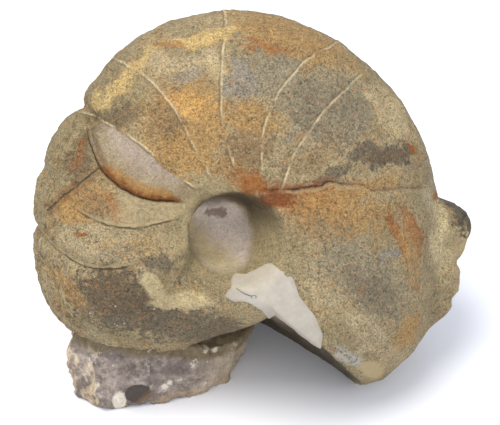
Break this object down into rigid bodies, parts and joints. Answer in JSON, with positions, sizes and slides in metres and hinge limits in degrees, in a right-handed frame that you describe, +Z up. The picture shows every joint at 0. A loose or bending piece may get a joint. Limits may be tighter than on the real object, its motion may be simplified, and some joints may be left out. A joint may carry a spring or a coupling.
{
  "type": "nautilus fossil",
  "caption": "Stone mould of an inflated coiled nautiloid shell leaning on a block of its bedding rock, with a plaster repair in the lip.",
  "frame": {"origin": "middle of the bounding box on the surface the fossil rests on", "axes": "+Z up, -Y toward the flank with the open navel, +X along the long way of the coil, from the rock block toward the mouth side"},
  "size_m": [0.2152, 0.1408, 0.183],
  "materials": {
    "ochre_stone": "weathered ochre and grey-brown siltstone with rust stains",
    "plaster": "matt off-white restoration plaster, lightly scratched"
  },
  "bodies": {
    "root": {"nautilus_fossil": "ochre_stone", "plaster_fill": "plaster"}
  },
  "joints": []
}
